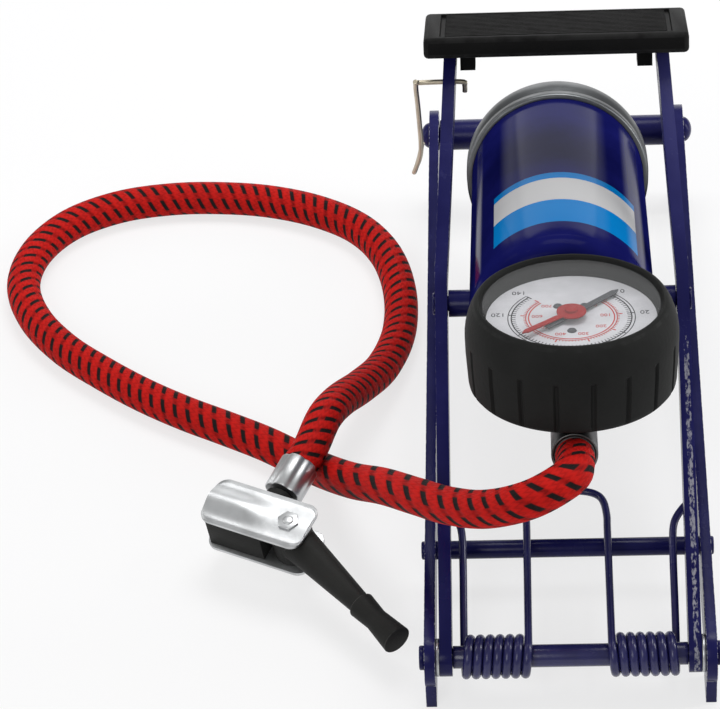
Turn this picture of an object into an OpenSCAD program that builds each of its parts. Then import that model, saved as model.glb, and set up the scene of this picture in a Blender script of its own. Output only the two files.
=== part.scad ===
// Single-cylinder foot pump with a pressure gauge, a braided hose and a thumb-lock valve chuck.
// Millimetres, +Z up. The origin is on the ground under the middle of the base.
// +Y points from the front pivot towards the rear pin, -X is the side the hose lies on.

/* [Base frame] */
// Distance between the front pivot and the rear pin, along Y
base_len = 250; // [230:1:270]
// Height of the front pivot
pivot_z = 16; // [15:0.5:18]
// Height of the rear pin, so that the barrel clears the ground
rear_z = 34; // [34:0.5:40]
// Half the spacing of the base rails, to the middle of each strip
base_half_w = 44; // [44:0.5:46]
// Thickness of the base rails
base_t = 3.4; // [2.5:0.1:3.4]
// Height of the base rail strip
base_h = 18; // [16:1:18]
// Distance of the front cross bar behind the pivot
bar_y = 50; // [46:1:54]
// Radius of the front cross bar
bar_r = 3; // [2.5:0.1:3]

/* [Lever] */
// Angle of the raised lever above the ground
lever_angle = 31; // [30:0.5:32]
// Distance from the pivot to the cylinder trunnion along the lever
trunnion_len = 118; // [116:0.5:120]
// Distance from the pivot to the pedal along the lever
lever_len = 215; // [209:1:222]
// Half the spacing of the lever rails, to the middle of each strip
lever_half_w = 39; // [38.5:0.1:39]
// Half the spacing of the lever rails at the pedal
lever_top_half_w = 34.5; // [34:0.5:36]
// Thickness of the lever rails
lever_t = 4; // [3:0.1:4]
// Height of the lever rail strip
lever_h = 12; // [10:0.5:12]

/* [Pedal] */
// Width of the pedal
pedal_w = 87; // [82:1:92]
// Depth of the tread
pedal_d = 36; // [28:1:40]
// Thickness of the pedal
pedal_t = 7; // [6:0.5:9]
// Slope of the tread down towards the foot
pedal_slope = -21; // [-25:1:-15]

/* [Cylinder] */
// Outer radius of the barrel
barrel_r = 30; // [28:0.5:30]
// Wall of the barrel
barrel_wall = 1.5; // [1:0.1:2]
// Length of the barrel behind the trunnion
barrel_len = 120; // [116:1:122]
// Outer radius of the bright end ring
ring_r = 32; // [31.5:0.1:32.5]
// Length of the bright end ring
ring_len = 12; // [8:1:16]

/* [Gauge] */
// Outer radius of the gauge housing
gauge_r = 33; // [30:0.5:33]
// Height of the gauge housing
gauge_h = 30; // [26:1:32]
// Distance of the gauge axis in front of the trunnion
gauge_s = 56.5; // [56.5:0.5:60]
// Number of grip grooves round the gauge housing
groove_count = 18; // [12:1:32]

/* [Return spring] */
// Diameter of the spring wire
wire_d = 2.4; // [2:0.1:2.5]
// Mean radius of the coils
coil_r = 5.6; // [5.5:0.1:6]
// Step from one turn to the next
coil_pitch = 3.1; // [3:0.1:3.3]
// Whole turns in each coil
coil_turns = 6; // [4:1:6]

/* [Hose and chuck] */
// Outer diameter of the braided hose
hose_d = 12; // [11:0.5:12]
// Length of the plated bracket of the chuck
bracket_len = 37; // [35:1:40]
// Length of the chuck lever's handle
handle_len = 50; // [45:1:55]

/* [Hidden] */
$fn = 48;
clear = 0.05;
gap = 0.3;
pin_r = 3;

// Side-view places of the three pivots, as [y, z]
pivot = [-base_len / 2, pivot_z];
rear = [base_len / 2, rear_z];
trunnion = pivot + trunnion_len * [cos(lever_angle), sin(lever_angle)];
cyl_span = norm(rear - trunnion);
cyl_angle = atan2(trunnion[1] - rear[1], rear[0] - trunnion[0]);
base_slope = atan2(rear[1] - pivot[1], rear[0] - pivot[0]);

// Base details
foot_w = 12;
bar_drop = 4.4;
bar_pos = [pivot[0] + bar_y, pivot[1] + bar_y * tan(base_slope) - bar_drop];
base_out = base_half_w + base_t / 2;
base_in = base_half_w - base_t / 2;
rivet_r = 3.9;
rivet_t = 1.7;
dome_r = 4.6;
dome_h = 3.2;
sleeve_r = 3.6;
lever_in = lever_half_w - lever_t / 2;
lever_out = lever_half_w + lever_t / 2;

// Cylinder details, in the cylinder's own frame: front is -Y, the trunnion is at 0
barrel_front = -22;
shoulder_r = 24;
shoulder_len = 7;
head_tube_r = 4.4;
trunnion_pin_r = 2.5;
outlet_z = -15;
// The gauge and its outlet sit a little to the right of the barrel's axis
outlet_x = 2.5;
outlet_r = 6.2;
outlet_bore_r = 2.5;
hose_start_s = 84;
collar_len = 16;
collar_r = 7.2;
rod_r = 4;
piston_far = 124;
piston_len = 14;
piston_slack = 5.2;
crosshead_r = 5.5;

// Gauge details, measured up from the cylinder's axis
gauge_bottom = -3.5;
// The gauge's face leans forward from the barrel
gauge_tilt = 6;
gauge_rim = gauge_bottom + gauge_h;
dial_z = gauge_rim - 6.5;
dial_r = 26.5;
pointer_angle = 45;
marker_angle = 220;

// Lock hook of bent wire, hung in the left lever rail near the pedal
hook_r = 1.1;
hook_at = lever_len - 19;
hook_drop = [[0.7, -1.2], [12, -21], [28, -49], [35, -61.5], [38.5, -66.5], [42.5, -67.5], [45, -64], [45.5, -59]];

// Chuck frame
chuck_pos = [-99.2, -66, 18.5];
chuck_turn = -26;
chuck_tilt = 12;
bracket_w = 18;
bracket_h = 16;
bracket_t = 1.2;
ferrule_len = 13;
hose_end_at = 27;
rivet_at = 11;
chuck_lever_turn = -26;
valve_r = 3.95;

// Route of the hose from the outlet collar to the chuck, laid by hand
hose_route = [
    [2.5, -109.3, 85.75], [2.5, -115.07, 87.41], [0.5, -122.3, 88.6], [-11, -127.1, 84.5], [-24.5, -119.7, 74],
    [-36.5, -106.2, 63.3], [-47, -91, 53.6], [-58.5, -71.9, 40.9], [-70.5, -51, 25], [-84.5, -25.5, 8.4],
    [-101, -11, 6], [-116, -2, 6], [-130, 6, 6], [-145, 16, 6], [-160, 28, 6],
    [-175, 42, 6], [-187, 59, 6], [-193, 78, 6], [-190, 97, 6], [-179, 113, 6],
    [-162, 123, 6], [-143, 127, 6], [-124, 127, 6], [-105, 124, 6], [-87, 117, 6],
    [-72, 106, 6], [-62, 90, 6], [-57, 69, 6], [-57, 47, 6], [-62, 26, 8.5],
    [-69, 8, 15], [-75.5, -8, 22.5], [-80, -22, 27.2], [-83.98, -34.79, 25.88], [-87.53, -42.08, 24.15]
];

// Frames of the moving groups
module lever_frame() translate([0, pivot[0], pivot[1]]) rotate([lever_angle, 0, 0]) children();
module cylinder_frame() translate([0, trunnion[0], trunnion[1]]) rotate([-cyl_angle, 0, 0]) children();
module gauge_lean() translate([outlet_x, -gauge_s, gauge_bottom]) rotate([gauge_tilt, 0, 0])
    translate([0, 0, -gauge_bottom]) children();
module gauge_frame() cylinder_frame() gauge_lean() children();
module outlet_side() translate([outlet_x, 0, 0]) children();
module chuck_frame() translate(chuck_pos) rotate([0, 0, chuck_turn]) rotate([chuck_tilt, 0, 0]) children();

// A flat plate drawn in side view, as [y, z], with its middle at x
module side_plate(x, t) translate([x - t / 2, 0, 0]) rotate([90, 0, 90]) linear_extrude(t) children();
// A round bar across the frame, centred on X
module cross_rod(p, r, len) translate([0, p[0], p[1]]) rotate([0, 90, 0]) cylinder(r = r, h = len, center = true);
// A rod along Y from y0 to y1 at height z
module long_rod(r, y0, y1, z = 0) translate([0, y0, z]) rotate([-90, 0, 0]) cylinder(r = r, h = y1 - y0);

// Straight strip between two [y, z] points with round ends that are a hair wider
module strip(p, q, h) {
    n = (h / 2 - 0.04) * [-(q - p)[1], (q - p)[0]] / norm(q - p);
    polygon([p + n, p - n, q - n, q + n]);
    translate(p) circle(h / 2);
    translate(q) circle(h / 2);
}

// Base

module base_rail(side) color("midnightblue") side_plate(side * base_half_w, base_t) difference() {
    union() {
        strip(pivot, rear, base_h);
        for (p = [pivot, rear]) translate([p[0] - foot_w / 2, 0]) square([foot_w, p[1]]);
    }
    translate(pivot) circle(pin_r + clear);
    translate(rear) circle(pin_r + clear);
    translate(bar_pos) circle(bar_r + clear);
}
module base_rail_left() base_rail(-1);
module base_rail_right() base_rail(1);

module front_cross_bar() color("midnightblue") cross_rod(bar_pos, bar_r, 2 * base_out + 3.2);

module pivot_axle() color("midnightblue") {
    cross_rod(pivot, pin_r, 2 * base_out + 0.2);
    for (side = [-1, 1]) translate([side * (base_out + rivet_t / 2 + clear), 0, 0]) cross_rod(pivot, rivet_r, rivet_t);
}

module axle_sleeve() color("midnightblue") difference() {
    cross_rod(pivot, sleeve_r, 2 * (lever_in - 0.2));
    cross_rod(pivot, pin_r + clear, 2 * lever_in + 2);
}

module pivot_washers() color("silver") for (side = [-1, 1])
    translate([side * (base_in + lever_out) / 2, 0, 0]) difference() {
        cross_rod(pivot, 6, base_in - lever_out - 2 * clear);
        cross_rod(pivot, pin_r + clear, 5);
    }

module rear_pin() color("midnightblue") {
    cross_rod(rear, pin_r, 2 * base_out + 0.2);
    for (side = [-1, 1]) translate([side * (base_out + clear), rear[0], rear[1]]) rotate([0, side * 90, 0])
        rotate_extrude() polygon(concat([[0, 0]], [for (a = [0:15:90]) [dome_r * cos(a), dome_h * sin(a)]]));
}

// Return spring: one wire with two coils on the axle, a bow over the cross bar and two lever legs

module tube(points, r, sides) {
    n = len(points);
    dirs = [for (i = [0:n - 1]) unit(points[min(i + 1, n - 1)] - points[max(i - 1, 0)])];
    sides_dir = carried(dirs, [first_side(dirs[0])]);
    rings = [for (i = [0:n - 1]) let (u = sides_dir[i], v = cross(dirs[i], u))
        for (k = [0:sides - 1]) points[i] + r * (cos(360 * k / sides) * u + sin(360 * k / sides) * v)];
    skin = [for (i = [0:n - 2], k = [0:sides - 1]) let (a = i * sides + k, b = i * sides + (k + 1) % sides)
        each [[a, a + sides, b], [b, a + sides, b + sides]]];
    ends = [for (k = [1:sides - 2]) each [[0, k, k + 1], [(n - 1) * sides, (n - 1) * sides + k + 1, (n - 1) * sides + k]]];
    polyhedron(rings, concat(skin, ends), convexity = 10);
}
function unit(v) = v / norm(v);
function first_side(d) = unit(cross(d, abs(d[0]) < 0.9 ? [1, 0, 0] : [0, 0, 1]));
// Carries the side direction along the path without twist
function carried(dirs, made) = len(made) == len(dirs) ? made
    : let (d = dirs[len(made)], u = made[len(made) - 1]) carried(dirs, concat(made, [unit(u - (u * d) * d)]));

coil_in = 13;
bow_end = [pivot[0] + 69, pivot[1] + 6.6];
leg_end = 52;
leg_phi = lever_angle - 90;
turn_sum = 360 * coil_turns + leg_phi + 360 - 90;
coil_steps = round(turn_sum / 45);
coil_out = coil_in + coil_pitch * turn_sum / 360;
function coil_point(i) = let (t = i / coil_steps, a = 90 + t * turn_sum)
    [coil_in + t * (coil_out - coil_in), pivot[0] + coil_r * cos(a), pivot[1] + coil_r * sin(a)];
function lever_point(x, l, h) = let (c = cos(lever_angle), s = sin(lever_angle))
    [x, pivot[0] + l * c - h * s, pivot[1] + l * s + h * c];
bow_half = [
    [0, bow_end[0], bow_end[1]], [5, bow_end[0], bow_end[1]], [9.5, bow_end[0] - 1.5, bow_end[1]],
    [12, bow_end[0] - 5, bow_end[1]], [coil_in, bow_end[0] - 12, bow_end[1]],
    [coil_in, bar_pos[0], bow_end[1]], [coil_in, pivot[0] + 20, pivot[1] + coil_r + 0.5],
    [coil_in, pivot[0] + 5, pivot[1] + coil_r]
];
leg_half = [
    lever_point(coil_out, 4, -coil_r), lever_point(coil_out, 16, -coil_r), lever_point(coil_out, 34, -coil_r - 1),
    lever_point(coil_out + 0.5, 44, -coil_r - 2.2), lever_point(coil_out + 3, 49, -coil_r - 2.6),
    lever_point(coil_out + 6, leg_end, -coil_r - 2.6)
];
spring_half = concat(bow_half, [for (i = [0:coil_steps]) coil_point(i)], leg_half);
spring_path = concat([for (i = [len(spring_half) - 1:-1:1]) let (p = spring_half[i]) [-p[0], p[1], p[2]]], spring_half);
// Least distance between turns of the wire that aren't neighbours along it
spring_gap = min([for (i = [0:len(spring_half) - 6], j = [i + 5:len(spring_half) - 1])
    norm(spring_half[i] - spring_half[j])]) - wire_d;
echo(spring_gap = spring_gap);

module return_spring() color("midnightblue") tube(spring_path, wire_d / 2, 6);

// Lock hook: swings in a hole of the left lever rail, its crook reaches down to the base

hook_x = base_out + hook_r + 0.9;
module lock_hook() color("tan") {
    eye = lever_point(0, hook_at, 0);
    tube(concat(
        [[-lever_top_half_w + 4, eye[1], eye[2] - 4], [-lever_top_half_w + 4, eye[1], eye[2] - 1.4]],
        [[-lever_top_half_w + 2.8, eye[1], eye[2]], [-hook_x + 1.2, eye[1], eye[2]]],
        [for (d = hook_drop) [-hook_x, eye[1] + d[0], eye[2] + d[1]]]
    ), hook_r, 8);
}

// Lever

kink_len = trunnion_len + 14;
module lever_rail(side) color("midnightblue") lever_frame() {
    shift = lever_half_w - lever_top_half_w;
    difference() {
        union() {
            side_plate(side * lever_half_w, lever_t) strip([0, 0], [kink_len - 6, 0], lever_h);
            translate([side * lever_half_w, 0, 0]) linear_extrude(lever_h, center = true) polygon([
                [-lever_t / 2, kink_len - 6], [lever_t / 2, kink_len - 6],
                [lever_t / 2 - side * shift, lever_len], [-lever_t / 2 - side * shift, lever_len]
            ]);
        }
        rotate([0, 90, 0]) cylinder(r = pin_r + clear, h = 200, center = true);
        translate([0, trunnion_len, 0]) rotate([0, 90, 0]) cylinder(r = trunnion_pin_r + clear, h = 200, center = true);
        translate([0, hook_at, 0]) rotate([0, 90, 0]) cylinder(r = hook_r + 3 * clear, h = 200, center = true);
        pedal_cut();
    }
}
module lever_rail_left() lever_rail(-1);
module lever_rail_right() lever_rail(1);

// Frame of the pedal: its underside is the XY plane, front edge at -Y
module pedal_frame() translate([0, lever_len - 6, 0]) rotate([pedal_slope - lever_angle, 0, 0]) children();
module pedal_cut() pedal_frame() translate([-100, -60, -clear]) cube([200, 120, 60]);

module pedal() color([0.13, 0.13, 0.13]) lever_frame() pedal_frame() {
    difference() {
        intersection() {
            rotate([90, 0, 90]) linear_extrude(pedal_w, center = true) polygon([
                [-pedal_d / 2, 0], [pedal_d / 2 - 3, 0], [pedal_d / 2, 3], [pedal_d / 2 - 1, pedal_t],
                [-pedal_d / 2 + 1.5, pedal_t], [-pedal_d / 2, pedal_t - 2]
            ]);
            rotate([90, 0, 0]) linear_extrude(pedal_d + 2, center = true) polygon([
                [-pedal_w / 2, -1], [pedal_w / 2, -1], [pedal_w / 2, 3], [pedal_w / 2 - 2.5, pedal_t + 1],
                [-pedal_w / 2 + 2.5, pedal_t + 1], [-pedal_w / 2, 3]
            ]);
        }
        for (i = [-3:3]) translate([0, i * pedal_d / 8.5, pedal_t]) cube([pedal_w - 16, 1.6, 1.8], center = true);
    }
    for (side = [-1, 1]) translate([side * (lever_top_half_w - lever_t / 2 - 3.2), -1, -3.5]) cube([5, 9, 7.2], center = true);
}

module trunnion_pin() color("midnightblue") lever_frame() translate([0, trunnion_len, 0]) {
    rotate([0, 90, 0]) cylinder(r = trunnion_pin_r, h = 2 * lever_out + 0.2, center = true);
    for (side = [-1, 1]) translate([side * (lever_out + 0.45), 0, 0]) rotate([0, 90, 0])
        cylinder(r = 3.6, h = 0.8, center = true);
}

// Cylinder

module barrel() color("midnightblue") cylinder_frame() difference() {
    rotate([-90, 0, 0]) rotate_extrude($fn = 96) {
        outer = [for (a = [90:-15:0]) [shoulder_r + (barrel_r - shoulder_r) * cos(a),
            barrel_front + shoulder_len - shoulder_len * sin(a)]];
        inner = [for (p = outer) [max(p[0] - barrel_wall, shoulder_r), p[1] + barrel_wall]];
        polygon(concat([[shoulder_r, barrel_front + barrel_wall], [shoulder_r, barrel_front]], outer,
            [[barrel_r, barrel_len], [barrel_r - barrel_wall, barrel_len]],
            [for (i = [len(inner) - 1:-1:1]) inner[i]]));
    }
    rotate([0, 90, 0]) cylinder(r = head_tube_r + clear, h = 200, center = true);
}

module barrel_ring() color("lightgray") cylinder_frame() rotate([-90, 0, 0]) rotate_extrude($fn = 96)
    polygon([
        [barrel_r + clear, barrel_len - ring_len], [ring_r - 1, barrel_len - ring_len], [ring_r, barrel_len - ring_len + 1],
        [ring_r, barrel_len + 1], [ring_r - 1.5, barrel_len + 2.5], [9, barrel_len + 2.5], [9, barrel_len + clear],
        [barrel_r + clear, barrel_len + clear]
    ]);

// The head closes the barrel's front, and its cross tube carries the cylinder on the lever's pin
module cylinder_head() color("midnightblue") cylinder_frame() difference() {
    union() {
        long_rod(shoulder_r - 2 * clear, barrel_front - 0.8, barrel_front + 5);
        rotate([0, 90, 0]) cylinder(r = head_tube_r, h = 2 * (lever_in - 0.3), center = true);
        translate([-12, barrel_front + 4, -head_tube_r + 0.4]) cube([24, -barrel_front - 2, 2 * head_tube_r - 0.8]);
        outlet_side() long_rod(outlet_r + 1.2, barrel_front - 11, barrel_front - 0.3, outlet_z);
    }
    rotate([0, 90, 0]) cylinder(r = trunnion_pin_r + clear, h = 200, center = true);
    outlet_side() long_rod(outlet_bore_r, barrel_front - 20, barrel_front + 20, outlet_z);
}

module outlet_block() color("dimgray") cylinder_frame() difference() {
    union() {
        outlet_side() long_rod(outlet_r, -hose_start_s, barrel_front - 11, outlet_z);
        gauge_lean() translate([0, 0, outlet_z]) cylinder(r = 8, h = gauge_bottom - outlet_z, $fn = 6);
    }
    outlet_side() long_rod(outlet_bore_r, -hose_start_s - 1, 0, outlet_z);
    gauge_lean() translate([0, 0, outlet_z]) cylinder(r = 1.5, h = 40);
}

module outlet_collar() color("gray") cylinder_frame() difference() {
    outlet_side() long_rod(collar_r, -hose_start_s, -hose_start_s + collar_len, outlet_z);
    outlet_side() long_rod(outlet_r + clear, -hose_start_s - 1, 0, outlet_z);
}

// Gauge

module gauge_housing() color([0.12, 0.12, 0.12]) gauge_frame() difference() {
    rotate_extrude($fn = 96) {
        lip = [for (a = [0:15:180]) [gauge_r - 2.5 + 2.5 * cos(a), gauge_rim - 2.5 + 2.5 * sin(a)]];
        polygon(concat(
            [[3, gauge_bottom], [gauge_r - 3, gauge_bottom], [gauge_r - 0.8, gauge_bottom + 2.2]], lip,
            [[dial_r + 0.4, dial_z - 1], [dial_r - 1, dial_z - 1], [dial_r - 1, gauge_bottom + 3], [3, gauge_bottom + 3]]));
    }
    for (i = [0:groove_count - 1]) rotate([0, 0, 360 * (i + 0.5) / groove_count])
        translate([gauge_r, 0, gauge_bottom + 6]) cube([1.6, 1.2, 30], center = true);
}

module gauge_dial() color("white") gauge_frame() translate([0, 0, dial_z - 1 + clear]) difference() {
    cylinder(r = dial_r - 0.2, h = 0.9);
    translate([0, 0, -1]) cylinder(r = 1, h = 4);
}

module gauge_lens() color([0.9, 0.95, 1, 0.3]) gauge_frame() translate([0, 0, gauge_rim - 2.5])
    cylinder(r = dial_r + 0.9, h = 1.2);

// Inside the housing: the socket, the plate that carries the pointers and the curved pressure tube
module gauge_movement() color("goldenrod") gauge_frame() difference() {
    union() {
        translate([0, 0, gauge_bottom]) cylinder(r = 3 - clear, h = 9);
        translate([0, 0, gauge_bottom + 8]) cylinder(r = 20, h = 2);
        translate([0, 0, gauge_bottom + 9]) rotate_extrude(angle = 270) translate([14, 0]) square([4, 4]);
    }
    translate([0, 0, gauge_bottom - 1]) cylinder(r = 1.5, h = 8);
}

module needle(z, length, tail, wide, hub_r) {
    translate([0, 0, z]) linear_extrude(0.6) {
        polygon([[-tail, -wide / 2], [-tail, wide / 2], [length - wide, wide / 2], [length, 0], [length - wide, -wide / 2]]);
        circle(hub_r);
    }
}
module pressure_pointer() color([0.2, 0.2, 0.2]) gauge_frame() {
    rotate([0, 0, pointer_angle]) needle(dial_z + 0.8, 21, 11, 2.2, 2.6);
    translate([0, 0, gauge_bottom + 11 + gap]) cylinder(r = 0.8, h = dial_z + 1 - gauge_bottom - 11);
}
module marker_pointer() color("firebrick") gauge_frame() rotate([0, 0, marker_angle]) {
    needle(dial_z + 1.8, 20, 3, 2, 4.6);
    translate([0, 0, dial_z + 2.2]) cylinder(r = 2, h = 1);
}

// Rod that pushes the piston, pivoting on the rear pin

module rod_frame() translate([0, rear[0], rear[1]]) rotate([-cyl_angle, 0, 0]) children();
module rod_crosshead() color("midnightblue") rod_frame() difference() {
    rotate([0, 90, 0]) cylinder(r = crosshead_r, h = 2 * (base_in - gap), center = true);
    rotate([0, 90, 0]) cylinder(r = pin_r + clear, h = 200, center = true);
}
module piston_rod() color("silver") rod_frame() difference() {
    long_rod(rod_r, -piston_far + piston_len, -4);
    rotate([0, 90, 0]) cylinder(r = crosshead_r + clear, h = 200, center = true);
}
piston_r = barrel_r - barrel_wall - piston_slack;
module piston() color([0.2, 0.2, 0.2]) rod_frame() difference() {
    long_rod(piston_r, -piston_far, -piston_far + piston_len);
    translate([0, -piston_far + 4, 0]) rotate([-90, 0, 0]) rotate_extrude() translate([piston_r - 2, 0]) square([4, 4]);
}
module piston_seal() color([0.08, 0.08, 0.08]) rod_frame() translate([0, -piston_far + 4 + clear, 0]) rotate([-90, 0, 0])
    rotate_extrude() translate([piston_r - 2 + clear, 0]) square([2.4, 4 - 2 * clear]);

// Hose and chuck

// Rings of the hose halfway between and on the route's points
function mid(i) = let (p = hose_route, n = len(p) - 1)
    (9 * (p[i] + p[i + 1]) - p[max(i - 1, 0)] - p[min(i + 2, n)]) / 16;
hose_path = [for (i = [0:len(hose_route) - 1]) each i < 10 && i > 0 ? [hose_route[i], mid(i)] : [hose_route[i]]];
module hose() color("crimson") tube(hose_path, hose_d / 2, 12);

module chuck_ferrule() color("silver") chuck_frame() difference() {
    long_rod(6.6, hose_end_at - ferrule_len, hose_end_at);
    long_rod(3.5, hose_end_at - ferrule_len - 1, hose_end_at - 3);
}

module chuck_core() color([0.1, 0.1, 0.1]) chuck_frame() difference() {
    union() {
        translate([-bracket_len / 2 + bracket_t + 10.5, 0, 0]) cube([20, 15, bracket_h - 2 * bracket_t - 0.2], center = true);
        long_rod(3.5 - clear, 5, hose_end_at - 4);
        long_rod(5, 5, hose_end_at - ferrule_len - 1);
    }
    translate([-bracket_len / 2 - 5, 0, 0]) rotate([0, 90, 0]) cylinder(r = valve_r, h = 19);
    long_rod(1.5, 3, hose_end_at);
}

// Plated bracket: two long plates with a raised rib, joined by the mouth plate
module chuck_bracket() color("lightsteelblue") chuck_frame() difference() {
    union() {
        for (side = [-1, 1]) translate([0, 0, side * (bracket_h - bracket_t) / 2]) {
            linear_extrude(bracket_t, center = true) {
                square([bracket_len - 8, bracket_w], center = true);
                square([bracket_len, bracket_w - 8], center = true);
                for (sx = [-1, 1], sy = [-1, 1])
                    translate([sx * (bracket_len / 2 - 4), sy * (bracket_w / 2 - 4)]) circle(4);
            }
            translate([-4, 0, side * bracket_t / 2]) rotate([0, 90, 0]) cylinder(r = 1.6, h = 20, center = true);
        }
        translate([-(bracket_len - bracket_t) / 2, 0, 0]) cube([bracket_t, bracket_w - 8, bracket_h], center = true);
    }
    translate([-bracket_len / 2, 0, 0]) rotate([0, 90, 0]) cylinder(r = valve_r + 0.5, h = 10, center = true);
    translate([rivet_at, 0, 0]) cylinder(r = 2 + clear, h = 60, center = true);
    translate([-3, 0, 0]) cube([30, bracket_w - 2, bracket_h - 2 * bracket_t], center = true);
}

module chuck_rivet() color("silver") chuck_frame() translate([rivet_at, 0, 0]) {
    cylinder(r = 2, h = bracket_h + 1, center = true);
    for (side = [-1, 1]) translate([0, 0, side * (bracket_h / 2 + 0.7)]) cylinder(r = 3.8, h = 1.2, center = true, $fn = 6);
}

module chuck_lever() color([0.1, 0.1, 0.1]) chuck_frame() translate([rivet_at, 0, 0])
    rotate([0, 0, chuck_lever_turn]) difference() {
        union() {
            cylinder(r = 7, h = bracket_h - 2 * bracket_t - 0.4, center = true);
            rotate([0, 90, 0]) cylinder(r1 = 6.5, r2 = 3.4, h = handle_len - 10, $fn = 40);
            translate([handle_len - 13, 0, 0]) rotate([0, 90, 0]) cylinder(r1 = 4.6, r2 = 3.8, h = 8);
            translate([handle_len - 5.2, 0, 0]) rotate([0, 90, 0]) cylinder(r1 = 3.8, r2 = 5, h = 11);
        }
        cylinder(r = 2 + clear, h = 60, center = true);
    }

base_rail_left();
base_rail_right();
front_cross_bar();
pivot_axle();
axle_sleeve();
pivot_washers();
rear_pin();
return_spring();
lock_hook();
lever_rail_left();
lever_rail_right();
pedal();
trunnion_pin();
barrel();
barrel_ring();
cylinder_head();
outlet_block();
outlet_collar();
gauge_housing();
gauge_dial();
gauge_lens();
gauge_movement();
pressure_pointer();
marker_pointer();
rod_crosshead();
piston_rod();
piston();
piston_seal();
hose();
chuck_ferrule();
chuck_core();
chuck_bracket();
chuck_rivet();
chuck_lever();
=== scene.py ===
# %% [markdown]
# # A foot pump, dressed in cells
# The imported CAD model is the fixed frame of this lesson. Each cell takes one piece of the pump, says what it
# is on the real thing, and models it again with rounder edges, real wire, a braided hose and worn enamel.
# Everything is in metres: +Z is up, +Y runs from the front pivot to the rear pin, and the hose lies on the
# -X side.

# %% Load the frame
import math

import bmesh
import bpy
from mathutils import Matrix, Vector


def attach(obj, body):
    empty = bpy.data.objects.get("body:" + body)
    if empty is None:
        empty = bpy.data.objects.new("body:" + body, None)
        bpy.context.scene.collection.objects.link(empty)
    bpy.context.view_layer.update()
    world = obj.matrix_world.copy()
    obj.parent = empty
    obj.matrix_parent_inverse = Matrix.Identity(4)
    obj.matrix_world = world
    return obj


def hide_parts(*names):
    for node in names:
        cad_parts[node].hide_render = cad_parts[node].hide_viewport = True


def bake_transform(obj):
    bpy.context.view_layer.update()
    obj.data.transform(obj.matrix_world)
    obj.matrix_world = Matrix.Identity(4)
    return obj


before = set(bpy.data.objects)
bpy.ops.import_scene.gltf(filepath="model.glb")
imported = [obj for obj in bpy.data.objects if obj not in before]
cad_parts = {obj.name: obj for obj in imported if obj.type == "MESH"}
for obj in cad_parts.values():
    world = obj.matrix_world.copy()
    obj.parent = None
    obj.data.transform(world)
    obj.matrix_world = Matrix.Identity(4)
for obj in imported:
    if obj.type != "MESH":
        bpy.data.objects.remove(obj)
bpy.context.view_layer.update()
scene = bpy.context.scene
scene.view_settings.view_transform = "Standard"


# %% [markdown]
# ## Camera
# The photograph was taken from above the front, from far away with a long lens. It is aimed a little to the
# left of the pump and tilted a few degrees. The camera is placed by its own three axes, so the tilt needs no
# Euler angles. The lens follows from the focal length in pixels: the sensor is as wide as the picture.

# %% Camera
CAMERA_PLACE = Vector((-0.0065, -0.9378, 0.8259))
PITCH, YAW, ROLL = (math.radians(a) for a in (40.05, -3.76, -3.68))
FOCAL_PIXELS, PICTURE_PIXELS, SENSOR = 3639.8, 720, 36
forward = Vector((math.sin(YAW) * math.cos(PITCH), math.cos(YAW) * math.cos(PITCH), -math.sin(PITCH)))
level = Vector((math.cos(YAW), -math.sin(YAW), 0))
above = level.cross(forward)
right = math.cos(ROLL) * level + math.sin(ROLL) * above
upward = math.cos(ROLL) * above - math.sin(ROLL) * level
lens = bpy.data.cameras.new("camera")
lens.sensor_width = SENSOR
lens.lens = FOCAL_PIXELS / PICTURE_PIXELS * SENSOR
camera = bpy.data.objects.new("camera", lens)
facing = Matrix((right, upward, -forward)).transposed().to_4x4()
camera.matrix_world = Matrix.Translation(CAMERA_PLACE) @ facing
scene.collection.objects.link(camera)
scene.camera = camera
print("lens", round(lens.lens, 1), "mm")

# %% [markdown]
# ## Places of the moving groups
# The lever turns about the front axle, the cylinder hangs on a pin through the lever, and the piston rod
# turns on the rear pin. One matrix for each group lets a piece be modelled flat at the origin and then set in
# its place.

# %% Places
MM = 0.001
PIVOT = Vector((0, -0.125, 0.016))
REAR = Vector((0, 0.125, 0.034))
LEVER_DEGREES = 31
LEVER_ANGLE = math.radians(LEVER_DEGREES)
TRUNNION_AT = 0.118
TRUNNION = PIVOT + TRUNNION_AT * Vector((0, math.cos(LEVER_ANGLE), math.sin(LEVER_ANGLE)))
BARREL_ANGLE = math.atan2(TRUNNION.z - REAR.z, REAR.y - TRUNNION.y)
GAUGE_OFF, GAUGE_ALONG, GAUGE_FLOOR = 2.5 * MM, -56.5 * MM, -3.5 * MM
GAUGE_LEAN = math.radians(6)
PEDAL_AT, PEDAL_TILT = 209 * MM, math.radians(-52)
CHUCK_PLACE = (-0.0992, -0.0660, 0.0185)
CHUCK_HEADING, CHUCK_TIP = math.radians(-26), math.radians(12)


def turned(place, angle, axis="X"):
    return Matrix.Translation(place) @ Matrix.Rotation(angle, 4, axis)


LEVER = turned(PIVOT, LEVER_ANGLE)
BARREL = turned(TRUNNION, -BARREL_ANGLE)
GAUGE_FOOT = BARREL @ turned((GAUGE_OFF, GAUGE_ALONG, GAUGE_FLOOR), GAUGE_LEAN)
GAUGE = GAUGE_FOOT @ Matrix.Translation((0, 0, -GAUGE_FLOOR))
PEDAL = LEVER @ turned((0, PEDAL_AT, 0), PEDAL_TILT)
CHUCK = turned(CHUCK_PLACE, CHUCK_HEADING, "Z") @ Matrix.Rotation(CHUCK_TIP, 4, "X")
print("barrel slopes", round(math.degrees(BARREL_ANGLE), 2), "degrees")

# %% [markdown]
# ## Shader sums
# A wear mask is easier to read as `edge * 2 - 1` than as three Math nodes with links. This small class wraps
# a socket, so that Python's operators add the nodes. Its method `make` adds any other node: settings first,
# then sockets.

# %% Shader sums


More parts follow.
